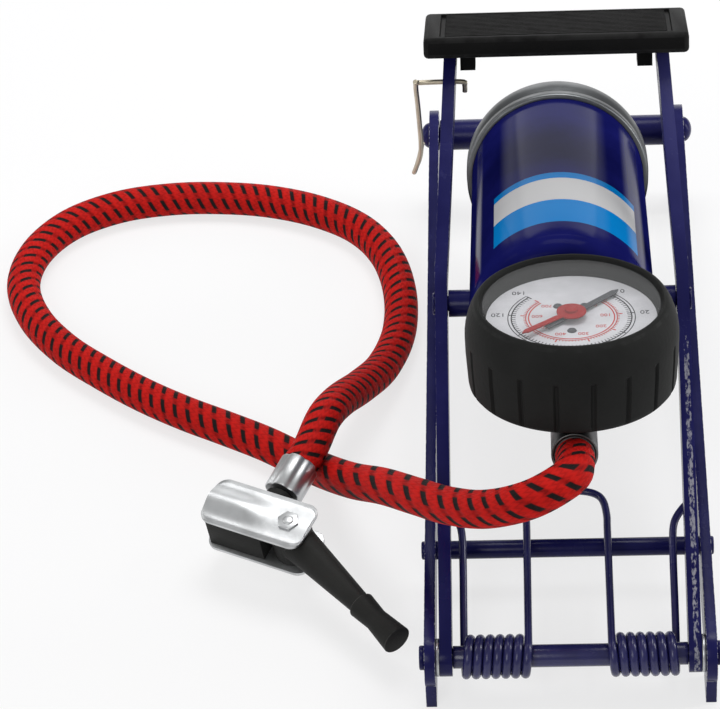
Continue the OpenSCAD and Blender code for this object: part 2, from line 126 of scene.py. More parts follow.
class Sum:
    def __init__(self, tree, socket):
        self.tree, self.socket = tree, socket

    def make(self, kind, settings=None, inputs=None, out=0):
        node = self.tree.nodes.new("ShaderNode" + kind)
        for name, value in (settings or {}).items():
            setattr(node, name, value)
        for name, value in (inputs or {}).items():
            if isinstance(value, Sum):
                self.tree.links.new(value.socket, node.inputs[name])
            else:
                node.inputs[name].default_value = value
        return Sum(self.tree, node.outputs[out])

    def sum(self, operation, first, second=0.0):
        return self.make("Math", {"operation": operation}, {0: first, 1: second})

    def __add__(self, other):
        return self.sum("ADD", self, other)

    def __sub__(self, other):
        return self.sum("SUBTRACT", self, other)

    def __rsub__(self, other):
        return self.sum("SUBTRACT", other, self)

    def __mul__(self, other):
        return self.sum("MULTIPLY", self, other)

    def __truediv__(self, other):
        return self.sum("DIVIDE", self, other)

    def __gt__(self, other):
        return self.sum("GREATER_THAN", self, other)

    def __lt__(self, other):
        return self.sum("LESS_THAN", self, other)

    __radd__, __rmul__ = __add__, __mul__

    def fraction(self):
        return self.sum("FRACT", self)

    def size(self):
        return self.sum("ABSOLUTE", self)

    def wave(self):
        return self.sum("SINE", self)

    def step(self, low, high):
        return self.make("MapRange", {"interpolation_type": "SMOOTHSTEP"}, {0: self, 1: low, 2: high})


print("shader sums ready")

# %% [markdown]
# ## Finishes in general
# Every finish starts from a Principled shader. Its even sockets are set once, and only what changes over the
# surface is linked. Noise on object coordinates gives clouds, scuffs and grain at different scales.

# %% Finishes in general


def blank(name, **settings):
    """A new material, its object coordinates as a Sum, and its Principled node with the even sockets set."""
    material = bpy.data.materials.new(name)
    material.use_nodes = True
    tree = material.node_tree
    shader = next(n for n in tree.nodes if n.type == "BSDF_PRINCIPLED")
    for socket, value in settings.items():
        shader.inputs[socket.replace("_", " ")].default_value = value
    start = Sum(tree, None)
    return material, start.make("TexCoord", out=3), shader


def join(shader, **sums):
    for socket, value in sums.items():
        value.tree.links.new(value.socket, shader.inputs[socket.replace("_", " ")])


def noise(place, scale, detail=3.0, roughness=0.55):
    inputs = {"Vector": place, "Scale": scale, "Detail": detail, "Roughness": roughness}
    return place.make("TexNoise", None, inputs)


def stretched(place, scale):
    return place.make("Mapping", None, {"Vector": place, "Scale": scale})


def axis_of(place, index):
    return place.make("SeparateXYZ", None, {0: place}, out=index)


def edge_mark(place):
    return place.make("Attribute", {"attribute_name": "edge_wear"}, out=2)


def mixed(share, first, second):
    return share.make("Mix", {"data_type": "RGBA"}, {0: share, 6: first, 7: second}, out=2)


def bumped(height, strength, distance):
    return height.make("Bump", None, {"Height": height, "Strength": strength, "Distance": distance})


print("helpers for finishes ready")

# %% [markdown]
# ## Enamel and plated metal
# The frame is sheet steel dipped in navy enamel. The paint is glossy, lies a little uneven like orange peel,
# and has chipped along the edges of the strips. Modelling marks each rounded edge with an attribute called
# `edge_wear`; noise breaks that mark into short chips that show pale primer. One rail is also rubbed along
# its lower half, in a broken line, and its upper half is turned a paler navy, which is a painted sheen.

# %% Enamel
NAVY = ((0.007, 0.007, 0.064, 1), (0.012, 0.012, 0.086, 1))
# a lighter, greyer copy of the navy for the spring and the axle sleeve: painted light
LIT_SPRING_NAVY = ((0.014, 0.014, 0.08, 1), (0.02, 0.02, 0.11, 1))
# a pale navy for scuffs, and a pale navy painted on the rubbed rail's upper half as sheen
SCUFFED_NAVY, PAINTED_SHEEN_NAVY = (0.05, 0.05, 0.16, 1), (0.05, 0.05, 0.17, 1)
PRIMER = (0.42, 0.42, 0.46, 1)
RUBBED_AT, RUBBED_HALF, RUBBED_EDGE = 39.4 * MM, 0.6 * MM, 1.7 * MM
RUBBED_FADE, RUBBED_END = -47 * MM, -20 * MM
# where the painted sheen on the rubbed rail's upper half starts and where it is full
PAINTED_SHEEN_FROM, PAINTED_SHEEN_FULL = -40 * MM, 60 * MM


def rubbed_line(place):
    """The broken line of chips on the rail's lower half, and how much painted sheen lightens its upper half.
    """
    along = axis_of(place, 1)
    streak = 1 - (axis_of(place, 0) - RUBBED_AT).size().step(RUBBED_HALF, RUBBED_EDGE)
    low_half = 1 - along.step(RUBBED_FADE, RUBBED_END)
    dashes = noise(stretched(place, (1.5, 0.6, 0.6)), 700, 4, 0.7)
    line = (streak * low_half * dashes).step(0.46, 0.56) * 0.65
    return line, along.step(PAINTED_SHEEN_FROM, PAINTED_SHEEN_FULL) * 0.55


def enamel(name, chips, tones=NAVY, shine=0.15, rubbed=False):
    material, place, shader = blank(name, Specular_IOR_Level=shine)
    cloud = noise(place, 60)
    peel = noise(place, 900, 2)
    spots = noise(place, 420, 4, 0.7)
    chip = (edge_mark(place) * spots).step(0.62 - chips, 0.66 - chips)
    scuff = noise(place, 180, 5, 0.65).step(0.62, 0.8)
    paint = mixed(cloud.step(0.3, 0.7), *tones)
    paint = mixed(scuff * 0.25, paint, SCUFFED_NAVY)
    if rubbed:
        line, painted_sheen = rubbed_line(place)
        chip = chip.sum("MAXIMUM", chip, line)
        # the rail's upper half is mixed towards a paler navy: a painted sheen
        paint = mixed(painted_sheen, paint, PAINTED_SHEEN_NAVY)
    join(
        shader,
        Base_Color=mixed(chip, paint, PRIMER),
        Roughness=cloud * 0.12 + scuff * 0.12 + chip * 0.25 + 0.2,
        Normal=bumped(peel * 0.5 - chip * 0.6, 0.25, 0.0003),
    )
    return material


ENAMEL = enamel("navy_enamel", -0.03)
ENAMEL_WORN = enamel("worn_navy_enamel", 0.12)
ENAMEL_RUBBED_AND_SHEEN = enamel("rubbed_navy_enamel_and_sheen", -0.02, rubbed=True)
# the spring's enamel uses the lighter copy of the navy, a painted highlight
ENAMEL_SPRING_LIT = enamel("spring_enamel_lit", -0.03, LIT_SPRING_NAVY, 0.5)
print("enamel finishes ready")

# %% Plated metal


def plated(name, tone, rough, grain):
    material, place, shader = blank(name, Metallic=1.0)
    cloud = noise(place, 90, 4)
    fine = noise(stretched(place, grain), 900, 3)
    dull = [0.72 * v for v in tone]
    join(
        shader,
        Base_Color=mixed(cloud.step(0.35, 0.75), (*tone, 1), (*dull, 1)),
        Roughness=cloud * 0.12 + fine * 0.1 + rough,
        Normal=bumped(fine, 0.12, 0.0002),
    )
    return material


CHROME = plated("satin_ring", (0.155, 0.162, 0.167), 0.27, (0.15, 1, 1))
ZINC = plated("zinc_plate", (0.62, 0.632, 0.64), 0.3, (1, 0.2, 1))
WIRE = plated("drawn_wire", (0.58, 0.52, 0.40), 0.28, (1, 1, 0.2))
DARK_METAL = plated("dark_fitting", (0.13, 0.13, 0.13), 0.3, (1, 1, 1))
BRASS = plated("brass", (0.72, 0.52, 0.22), 0.25, (1, 1, 1))
print("metal finishes ready")

# %% [markdown]
# ## Plastic and rubber
# The pedal and the chuck lever are moulded black plastic with a fine grain; the gauge sits in a rubber boot
# that is a touch greyer, with pale rubbed edges. On the boot's lip that paleness is also a painted highlight.
# The dial's card and inks are made in the same way, without rubbed edges. The lens is nearly all see-through,
# so that the dial is read through it.

# %% Plastic and rubber


def moulded(name, tone, rough, grain, rubbed):
    material, place, shader = blank(name, Specular_IOR_Level=0.06)
    cloud = noise(place, 45, 4)
    pits = noise(place, grain, 2)
    worn = (edge_mark(place) * noise(place, 160, 4)).step(0.3, 0.6) * rubbed
    dark, pale = [0.75 * v for v in tone], [v * 2.6 + 0.02 for v in tone]
    base = mixed(cloud.step(0.3, 0.7), (*dark, 1), (*tone, 1))
    join(
        shader,
        Base_Color=mixed(worn, base, (*pale, 1)),
        Roughness=cloud * 0.16 + rough,
        Normal=bumped(pits, 0.3, 0.00025),
    )
    return material


PEDAL_BLACK = moulded("pedal_black", (0.007, 0.007, 0.007), 0.5, 1400, 0.25)
BLACK_PLASTIC = moulded("black_plastic", (0.026, 0.026, 0.025), 0.42, 1400, 0.5)
# the boot's pale lip is rubbing and a painted rim highlight
BOOT_RUBBER = moulded("boot_rubber", (0.019, 0.0195, 0.019), 0.5, 700, 0.2)
SEAL_RUBBER = moulded("seal_rubber", (0.02, 0.02, 0.02), 0.55, 900, 0.2)
POINTER_GREY = moulded("pointer_grey", (0.075, 0.078, 0.085), 0.4, 600, 0.2)
POINTER_RED = moulded("pointer_red", (0.34, 0.008, 0.008), 0.35, 600, 0.0)
DIAL_BLACK = moulded("dial_black", (0.045, 0.045, 0.05), 0.6, 600, 0.0)
DIAL_RED = moulded("dial_red", (0.5, 0.06, 0.05), 0.6, 600, 0.0)
DIAL_CARD = moulded("dial_card", (0.59, 0.59, 0.62), 0.5, 500, 0.0)

CLEAR_LENS, lens_place, lens_shader = blank("clear_lens", Roughness=0.04, Alpha=0.04, Specular_IOR_Level=0.1)
join(lens_shader, Base_Color=mixed(noise(lens_place, 30), (0.9, 0.93, 0.95, 1), (1, 1, 1, 1)))
print("plastic finishes ready")

# %% [markdown]
# ## Pieces
# Every piece ends in the same way: its bmesh is set in its place, becomes a mesh with smooth faces and sharp
# edges, takes its material and rides on its body. The place goes into the mesh and the object stays at the
# origin, so that the patterns on object coordinates hold still. The helper `keep` does all of this.

# %% Pieces
MERGE = 1e-6


def keep(name, bm, body, material, place=None, stands_for=(), sharp=35):
    if place is not None:
        bmesh.ops.transform(bm, matrix=place, verts=bm.verts)
    mesh = bpy.data.meshes.new(name)
    bm.to_mesh(mesh)
    bm.free()
    mesh.polygons.foreach_set("use_smooth", [True] * len(mesh.polygons))
    mesh.set_sharp_from_angle(angle=math.radians(sharp))
    mesh.materials.append(material)
    piece = bpy.data.objects.new(name, mesh)
    scene.collection.objects.link(piece)
    if body:
        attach(piece, body)
    if stands_for:
        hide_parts(*stands_for)
    return piece


def tidy(bm):
    bmesh.ops.remove_doubles(bm, verts=bm.verts, dist=MERGE)
    bmesh.ops.recalc_face_normals(bm, faces=bm.faces)
    return bm


print("points closer than", MERGE, "m are merged")

# %% [markdown]
# ## Round stock
# The hose, the spring and the hook are all round stock bent along a route. A curve with a bevel could draw
# them. Here one ring of vertices is extruded from place to place instead, because each ring can then have its
# own radius and its own distance along the route, which the braid needs.

# %% Routes


def points_of(rows):
    return [Vector(row) * MM for row in rows]


def smooth_path(points, steps):
    """A curve through the points, each gap cut in the same number of steps (a Catmull-Rom spline)."""
    path = []
    last = len(points) - 1
    for i in range(last):
        a, b = points[max(i - 1, 0)], points[i]
        c, d = points[i + 1], points[min(i + 2, last)]
        for k in range(steps):
            t = k / steps
            square = (2 * a - 5 * b + 4 * c - d) * t * t
            cube = (3 * b - 3 * c + d - a) * t ** 3
            path.append(0.5 * (2 * b + (c - a) * t + square + cube))
    return path + [points[-1].copy()]


def frames_along(path):
    """One matrix for each point, carried along the path without twist: Z runs along it."""
    frames, side = [], None
    for i, point in enumerate(path):
        ahead = (path[min(i + 1, len(path) - 1)] - path[max(i - 1, 0)]).normalized()
        if side is None:
            side = ahead.orthogonal().normalized()
        side = (side - side.dot(ahead) * ahead).normalized()
        across = ahead.cross(side)
        turn = Matrix((side, across, ahead)).transposed().to_4x4()
        frames.append(Matrix.Translation(point) @ turn)
    return frames


print("helpers for routes ready")

# %% Round stock


def wire(frames, radii, sides, along=None):
    """A closed round wire: one ring is drawn on from frame to frame. UV: x goes round, y is `along`."""
    bm = bmesh.new()
    around = bm.verts.layers.float.new("around")
    down = bm.verts.layers.float.new("down")
    bmesh.ops.create_circle(bm, segments=sides, radius=1.0)
    ring = list(bm.verts)
    for vert in ring:
        vert[around] = math.atan2(vert.co.y, vert.co.x) / (2 * math.pi) % 1.0
    shape = {vert[around]: vert.co.copy() for vert in ring}
    edges = list(bm.edges)

    def place(verts, i):
        size = Matrix.Diagonal((radii[i], radii[i], 1, 1))
        for vert in verts:
            vert.co = frames[i] @ size @ shape[vert[around]]
            vert[down] = along[i] if along else 0.0

    place(ring, 0)
    bmesh.ops.contextual_create(bm, geom=edges)
    for i in range(1, len(frames)):
        made = bmesh.ops.extrude_edge_only(bm, edges=edges)["geom"]
        ring = [g for g in made if isinstance(g, bmesh.types.BMVert)]
        edges = [g for g in made if isinstance(g, bmesh.types.BMEdge) and all(v in ring for v in g.verts)]
        place(ring, i)
    bmesh.ops.contextual_create(bm, geom=edges)
    uv = bm.loops.layers.uv.new("wrap")
    for face in bm.faces:
        turns = [loop.vert[around] for loop in face.loops]
        lift = max(turns) - min(turns) > 0.5
        for loop, turn in zip(face.loops, turns):
            loop[uv].uv = (turn + 1 if lift and turn < 0.5 else turn, loop.vert[down])
    bmesh.ops.recalc_face_normals(bm, faces=bm.faces)
    return bm


print("round stock ready")

# %% [markdown]
# ## Braid
# The hose is a rubber tube in a red braid. Two families of threads wind in opposite directions and pass over
# and under each other. Four black tracer threads wind round with them and show as slanted dashes, one in each
# of six rows. The pattern follows the hose's own UV map: x goes once round, and y runs along it in metres, at
# a pace that the next step sets.

# %% Braid
THREADS, THREADS_PER_METRE = 22, 320
DASH_ROWS, TRACERS, TRACER_STEP = 6, 4, 0.005
# the braid's red as painted shade in the weave's grooves and as painted highlight on its crowns
SHADED_RED, LIT_RED = (0.19, 0.004, 0.004, 1), (0.55, 0.011, 0.008, 1)
STAINED_RED, TRACER_BLACK = (0.3, 0.007, 0.006, 1), (0.012, 0.009, 0.009, 1)

RED_BRAID, braid_place, braid_shader = blank("red_braid", Specular_IOR_Level=0.08)
wrap = braid_place.make("UVMap", {"uv_map": "wrap"})
turn = axis_of(wrap, 0)
length = axis_of(wrap, 1)
left_hand = turn * THREADS + length * THREADS_PER_METRE
right_hand = turn * THREADS - length * THREADS_PER_METRE
over = ((left_hand + right_hand) * 0.5).fraction() > 0.5
left_rise = (left_hand * math.pi).wave().size()
right_rise = (right_hand * math.pi).wave().size()
rise = over * left_rise + (1 - over) * right_rise
off_tracer = ((length / TRACER_STEP - turn * TRACERS).fraction() - 0.5).size()
off_row = ((turn * DASH_ROWS).fraction() - 0.5).size()
dash = (1 - off_tracer.step(0.13, 0.2)) * (1 - off_row.step(0.29, 0.37))
strand = off_tracer.step(0.02, 0.3)
fuzz = noise(braid_place, 1600, 3)
stain = noise(braid_place, 70, 3)
# darker red in the grooves between threads and along the tracers, brighter on the crowns: painted shade
shaded_thread = mixed(rise * 0.4 + strand * 0.6, SHADED_RED, LIT_RED)
shaded_thread = mixed(stain.step(0.4, 0.8) * 0.35, shaded_thread, STAINED_RED)
join(
    braid_shader,
    Base_Color=mixed(dash, shaded_thread, TRACER_BLACK),
    Roughness=fuzz * 0.2 + 0.55,
    Normal=bumped(rise * 0.4 + strand * 0.9 + fuzz * 0.3, 0.55, 0.0005),
)
print("braid ready")

# %% [markdown]
# ## Hose
# The hose leaves the outlet under the gauge, bends left over the frame, lies on the ground in one loop and
# comes back over itself to the chuck. It has to follow the cylinder when the lever moves, so it is made in
# three lengths that share their end rings: the first spans from cylinder to lever, the second from lever to
# base, and the rest lies still. The photo's braid looks coarser near the outlet than on the ground, so the
# pattern's own distance grows at a pace given for each point of the route.

# %% Hose route
HOSE_D = 0.012
HOSE_ROUTE = points_of([
    (2.5, -109.3, 85.75), (2.5, -115.07, 87.41), (0.5, -122.3, 88.6), (-11, -127.1, 84.5),
    (-24.5, -119.7, 74), (-36.5, -106.2, 63.3), (-47, -91, 53.6), (-58.5, -71.9, 40.9),
    (-70.5, -51, 25), (-84.5, -25.5, 8.4),
    (-101, -11, 6), (-116, -2, 6), (-130, 6, 6), (-145, 16, 6), (-160, 28, 6),
    (-175, 42, 6), (-187, 59, 6), (-193, 78, 6), (-190, 97, 6), (-179, 113, 6),
    (-162, 123, 6), (-143, 127, 6), (-124, 127, 6), (-105, 124, 6), (-87, 117, 6),
    (-72, 106, 6), (-62, 90, 6), (-57, 69, 6), (-57, 47, 6), (-62, 26, 8.5),
    (-69, 8, 15), (-75.5, -8, 22.5), (-80, -22, 27.2), (-83.98, -34.79, 25.88), (-87.53, -42.08, 24.15),
])
HOSE_STEPS, HOSE_SIDES = 8, 32
hose_path = smooth_path(HOSE_ROUTE, HOSE_STEPS)
hose_frames = frames_along(hose_path)
BRAID_PACE = [1, 1, 1, 1, 0.75, 0.5, 0.42, 0.37, 0.34, 0.45, 0.8, 0.88, 0.95]
GROUND_PACE = 1.05
paces = BRAID_PACE + [GROUND_PACE] * (len(HOSE_ROUTE) + 1 - len(BRAID_PACE))
hose_along, hose_weave = [0.0], [0.0]
for i in range(1, len(hose_path)):
    knot, past = divmod(i, HOSE_STEPS)
    pace = paces[knot] + (paces[knot + 1] - paces[knot]) * past / HOSE_STEPS
    gap = (hose_path[i] - hose_path[i - 1]).length
    hose_along.append(hose_along[-1] + gap)
    hose_weave.append(hose_weave[-1] + pace * gap)
print("hose length", round(hose_along[-1], 4), "m")

# %% Hose


def hose_length(name, first, last):
    """The hose between two route points, as a mesh tube without a body yet."""
    part = slice(first * HOSE_STEPS, last * HOSE_STEPS + 1)
    bm = wire(hose_frames[part], [HOSE_D / 2] * len(hose_frames[part]), HOSE_SIDES, hose_weave[part])
    piece = keep(name, bm, None, RED_BRAID, sharp=60)
    return piece, hose_path[part], hose_along[part.stop - 1] - hose_along[part.start]


LEAD_END, DROP_END, ROUTE_END = 6, 10, len(HOSE_ROUTE) - 1
hose_lead, lead_path, lead_long = hose_length("hose_lead", 0, LEAD_END)
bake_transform(hose_lead)
hose_drop, drop_path, drop_long = hose_length("hose_drop", LEAD_END, DROP_END)
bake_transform(hose_drop)
hose_loop, loop_path, loop_long = hose_length("hose_loop", DROP_END, ROUTE_END)
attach(hose_loop, "base")
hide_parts("hose")
print("hose parts", round(lead_long, 3), round(drop_long, 3), round(loop_long, 3))

# %% [markdown]
# ## Return spring
# One piece of spring wire: a bow in the middle that bears on the cross bar, a coil on each side round the
# axle, and two legs that push the lever up. The bow and the coils stay with the base. Each leg rides on the
# lever and takes a short arc of its coil along, hidden inside the last turn, so that no gap opens when the
# lever moves.

# %% Spring coils
WIRE_R, COIL_WIRE_R, COIL_R, COIL_PITCH = 1.25, 1.5, 5.6, 3.1
COIL_IN, COIL_TURNS, COIL_STEP = 13, 6, 12
LEG_DEGREES = LEVER_DEGREES - 90
TURNED = COIL_TURNS * 360 + LEG_DEGREES + 270
COIL_OUT = COIL_IN + COIL_PITCH * TURNED / 360
STUB, SWELL_RINGS = 12, 6
WIRE_STEPS, WIRE_SIDES = 5, 12


def coil_point(turn_degrees):
    a = math.radians(90 + turn_degrees)
    x = COIL_IN + COIL_PITCH * turn_degrees / 360
    return PIVOT + Vector((x, COIL_R * math.cos(a), COIL_R * math.sin(a))) * MM


def mirrored(points):
    return [Vector((-p.x, p.y, p.z)) for p in points]


bow = smooth_path(points_of([
    (0, -56, 22.6), (5, -56, 22.6), (9.5, -57.5, 22.6), (12, -61, 22.6), (COIL_IN, -68, 22.6),
    (COIL_IN, -75, 22.6), (COIL_IN, -105, 22.1), (COIL_IN, -120, 21.6),
]), WIRE_STEPS)
coil = [coil_point(a) for a in range(0, TURNED - STUB, COIL_STEP)]
half = bow + coil
# thick paint fills the coils, so the wire swells there and thins again at each end of a coil
swell = [min(i, len(coil) - 1 - i, SWELL_RINGS) / SWELL_RINGS for i in range(len(coil))]
half_radii = [WIRE_R * MM] * len(bow) + [(WIRE_R + (COIL_WIRE_R - WIRE_R) * s) * MM for s in swell]
spring_frames = frames_along(mirrored(half[:0:-1]) + half)
bm = wire(spring_frames, half_radii[:0:-1] + half_radii, WIRE_SIDES)
keep("spring_coils", bm, "base", ENAMEL_SPRING_LIT, stands_for=["return_spring"], sharp=60)
print("spring of", len(spring_frames), "rings")

# %% Spring legs
OVERLAP, ARC_STEP, HIDDEN_SHARE = 45, 5, 0.9
LEG_SHAPE = [(4, -5.6, 0), (16, -5.6, 0), (34, -6.6, 0), (44, -7.8, 0.5), (49, -8.2, 3), (52, -8.2, 6)]
leg_points = [LEVER @ (Vector((COIL_OUT + out, along, up)) * MM) for along, up, out in LEG_SHAPE]
arc_turns = range(0, OVERLAP, ARC_STEP)
arc = [coil_point(TURNED - OVERLAP + a) for a in arc_turns]
leg_path = arc + smooth_path([coil_point(TURNED)] + leg_points, WIRE_STEPS)
hidden = sum(1 for a in arc_turns if a < OVERLAP - STUB)
leg_radii = [WIRE_R * MM * (HIDDEN_SHARE if i < hidden else 1.0) for i in range(len(leg_path))]
for side, path in (("right", leg_path), ("left", mirrored(leg_path))):
    bm = wire(frames_along(path), leg_radii, WIRE_SIDES)
    keep("spring_leg_" + side, bm, "lever", ENAMEL_SPRING_LIT, sharp=60)
print("legs of", len(leg_path), "rings,", hidden, "of them hidden")

# %% [markdown]
# ## Lock hook
# A bent wire hangs in a hole of the left lever rail. It goes out through the rail, drops past the outside of
# the base and ends in a small curl that catches the base when the pump is put away. It is round stock again,
# in bare wire.

# %% Lock hook
HOOK_X, HOOK_INNER_X, HOOK_R, HOOK_AT = -47.7, -30.5, 0.85, 196
eye = (LEVER @ Vector((0, HOOK_AT * MM, 0))) / MM
HOOK_DROP = [
    (0.7, -1.2), (12, -21), (28, -49), (35, -61.5), (38.5, -66.5), (42.5, -67.5), (45, -64), (45.5, -59),
]
HOOK_SWAY = [1.0, 1.0, 0.6, -1.6, -2.6, -2.0, -0.6, 0.4]
hook_rows = [
    (HOOK_INNER_X, eye.y, eye.z - 4), (HOOK_INNER_X, eye.y, eye.z - 1.4), (HOOK_INNER_X - 1.2, eye.y, eye.z),
    (HOOK_X + 2.4, eye.y, eye.z),
]
hook_rows += [(HOOK_X + out, eye.y + along, eye.z + down) for (along, down), out in zip(HOOK_DROP, HOOK_SWAY)]
hook_frames = frames_along(smooth_path(points_of(hook_rows), WIRE_STEPS))
bm = wire(hook_frames, [HOOK_R * MM] * len(hook_frames), WIRE_SIDES)
keep("hook_wire", bm, "hook", WIRE, stands_for=["lock_hook"], sharp=60)
print("hook of", len(hook_frames), "rings")

# %% [markdown]
# ## Steel strips and pins
# The rails are flat strips with rounded ends, the bars and pins are plain turned rod. The CAD solids have the
# right shape and knife-sharp edges. So each is copied, its loose triangles are joined into plain faces, its
# sharp edges are rounded, and the rounding is marked for the paint to chip there.

# %% Rounded copies
SHARP_FROM, FLAT_WITHIN = math.radians(28), math.radians(1)


def round_edges(bm, width, segments=2):
    wear = bm.faces.layers.float.get("edge_wear") or bm.faces.layers.float.new("edge_wear")
    edges = [e for e in bm.edges if len(e.link_faces) == 2 and e.calc_face_angle(0) > SHARP_FROM]
    made = bmesh.ops.bevel(
        bm, geom=edges, offset=width * MM, offset_type="OFFSET", segments=segments,
        profile=0.5, affect="EDGES", clamp_overlap=True, material=-1,
    )
    for face in made["faces"]:
        face[wear] = 1.0
    return bm


def softened(node, width, segments=2):
    """A copy of a CAD solid with its sharp edges rounded to a width in mm."""
    bm = bmesh.new()
    bm.from_mesh(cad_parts[node].data)
    bmesh.ops.remove_doubles(bm, verts=bm.verts, dist=MERGE)
    bmesh.ops.dissolve_limit(bm, angle_limit=FLAT_WITHIN, verts=bm.verts, edges=bm.edges)
    return round_edges(bm, width, segments)


print("edges sharper than", round(math.degrees(SHARP_FROM)), "degrees get rounded")

# %% Steel strips and pins
STRIPS = {
    "base_rail_left": "base", "base_rail_right": "base",
    "lever_rail_left": "lever", "lever_rail_right": "lever",
}
# this rail is rubbed along its lower half and has a painted sheen on its upper half
RUBBED_AND_SHEEN_RAIL = "lever_rail_right"
for node, body in STRIPS.items():
    paint = ENAMEL_RUBBED_AND_SHEEN if node == RUBBED_AND_SHEEN_RAIL else ENAMEL_WORN
    bm = softened(node, width=0.7, segments=3)
    keep(node + "_strip", bm, body, paint, stands_for=[node])
PAINTED = {
    "front_cross_bar": ("base", 0.5), "pivot_axle": ("base", 0.5), "axle_sleeve": ("base", 0.3),
    "rear_pin": ("base", 0.3), "trunnion_pin": ("lever", 0.25), "rod_crosshead": ("rod", 0.4),
    "cylinder_head": ("cylinder", 0.4),
}
for node, (body, width) in PAINTED.items():
    # the axle sleeve takes the spring's lighter navy, which is painted light
    paint = ENAMEL_SPRING_LIT if node == "axle_sleeve" else ENAMEL
    keep(node + "_painted", softened(node, width), body, paint, stands_for=[node])
keep("washers_plated", softened("pivot_washers", width=0.25), "base", ZINC,
     stands_for=["pivot_washers"])
print(len(STRIPS) + len(PAINTED) + 1, "rounded steel pieces")

# %% [markdown]
# ## Barrel
# The barrel is a drawn steel tube with a rounded shoulder. On its top sticks a label of plain blue and grey
# bands. The bands follow a UV map made before the barrel is tilted: x is the angle from the top in degrees, y
# is the distance from the trunnion in millimetres. The photo's highlights lie in three stripes along the
# barrel, so the gloss is a clear coat whose weight follows the same angle.

# %% Barrel finish
LABEL_LEFT, LABEL_RIGHT = -46, 55
BLUE_FROM, GREY_FROM, THIN_FROM, LABEL_END = -5, 14, 33, 38
LABEL_GREY = (0.44, 0.44, 0.445, 1)
LABEL_BLUES = ((0.002, 0.14, 0.40, 1), (0.002, 0.17, 0.46, 1))
BARREL_NAVY = ((0.005, 0.006, 0.07, 1), (0.007, 0.008, 0.09, 1))
# angles where a stripe of gloss starts, is full, starts to fade and ends
TOP_GLOSS, LEFT_GLOSS, RIGHT_GLOSS = (-42, -31, 24, 34), (-69, -65, -62, -58), (44, 52, 60, 67)
BARREL_PAINT, barrel_place, barrel_shader = blank(
    "barrel_enamel", Specular_IOR_Level=0.0, Coat_IOR=1.075, Coat_Roughness=0.13,
)
chart = barrel_place.make("UVMap", {"uv_map": "chart"})
angle = axis_of(chart, 0)
reach = axis_of(chart, 1)


def between(value, low, high):
    return (value > low) * (value < high)


def gloss(start, full, fade, end):
    return angle.step(start, full) * (1 - angle.step(fade, end))


on_label = between(angle, LABEL_LEFT, LABEL_RIGHT)
grey_band = on_label * between(reach, GREY_FROM, THIN_FROM)
blue_band = on_label * between(reach, BLUE_FROM, GREY_FROM)
thin_band = on_label * between(reach, THIN_FROM, LABEL_END)
label = grey_band + blue_band + thin_band
cloud = noise(barrel_place, 55)
peel = noise(barrel_place, 700, 2)
scuff = noise(barrel_place, 240, 5, 0.7).step(0.64, 0.8)
blue = mixed(cloud, *LABEL_BLUES)
paint = mixed(cloud.step(0.3, 0.7), *BARREL_NAVY)
paint = mixed(scuff * 0.15, paint, SCUFFED_NAVY)
paint = mixed(grey_band, paint, LABEL_GREY)
paint = mixed(blue_band, paint, blue)
paint = mixed(thin_band, paint, blue)
join(
    barrel_shader,
    Base_Color=paint,
    Coat_Weight=gloss(*TOP_GLOSS) + gloss(*LEFT_GLOSS) + gloss(*RIGHT_GLOSS),
    Roughness=label * 0.15 + cloud * 0.06 + scuff * 0.1 + 0.1,
    Normal=bumped(peel * 0.3 + label * 0.5, 0.2, 0.0003),
)
print("barrel finish with a label of three bands")

# %% Turned pieces
# a profile is turned about Z with its front at the low end; +Y of the plan then becomes the top
LAY_DOWN = Matrix(((1, 0, 0, 0), (0, 0, 1, 0), (0, 1, 0, 0), (0, 0, 0, 1)))


def spun(profile, steps):
    """Turns a closed profile of (radius, height) points in mm about Z."""
    bm = bmesh.new()
    points = [bm.verts.new((r * MM, 0, z * MM)) for r, z in profile]
    edges = [bm.edges.new(pair) for pair in zip(points, points[1:])]
    edges.append(bm.edges.new((points[-1], points[0])))
    bmesh.ops.spin(
        bm, geom=points + edges, cent=(0, 0, 0), axis=(0, 0, 1), dvec=(0, 0, 0),
        angle=2 * math.pi, steps=steps, use_merge=True, use_duplicate=False,
    )
    return tidy(bm)


def laid_down(bm):
    """Lays a turned piece along Y. That turns its faces round, so its normals are worked out again."""
    bmesh.ops.transform(bm, matrix=LAY_DOWN, verts=bm.verts)
    bmesh.ops.recalc_face_normals(bm, faces=bm.faces)
    return bm


print("helpers for turned pieces ready")

# %% Barrel
BARREL_FRONT, BARREL_BACK, BARREL_R, BARREL_STEPS = -22, 120, 30, 128
SHOULDER_R, SHOULDER, WALL, INNER_FRONT = 24, 7, 1.5, -13
shoulder = [
    (SHOULDER_R + (BARREL_R - SHOULDER_R) * math.cos(math.radians(a)),
     BARREL_FRONT + SHOULDER * (1 - math.sin(math.radians(a))))
    for a in range(90, -1, -10)
]
walls = [(BARREL_R, y) for y in range(-10, BARREL_BACK + 1, 10)]
walls += [(BARREL_R - WALL, BARREL_BACK), (BARREL_R - WALL, INNER_FRONT), (SHOULDER_R, BARREL_FRONT + WALL)]
bm = spun(shoulder + walls, BARREL_STEPS)
chart_layer = bm.loops.layers.uv.new("chart")
for face in bm.faces:
    turns = [math.degrees(math.atan2(loop.vert.co.x, loop.vert.co.y)) for loop in face.loops]
    lift = max(turns) - min(turns) > 180
    for loop, degrees in zip(face.loops, turns):
        loop[chart_layer].uv = (degrees + 360 if lift and degrees < 0 else degrees, loop.vert.co.z / MM)
keep("barrel_tube", laid_down(bm), "cylinder", BARREL_PAINT, BARREL, ["barrel"])

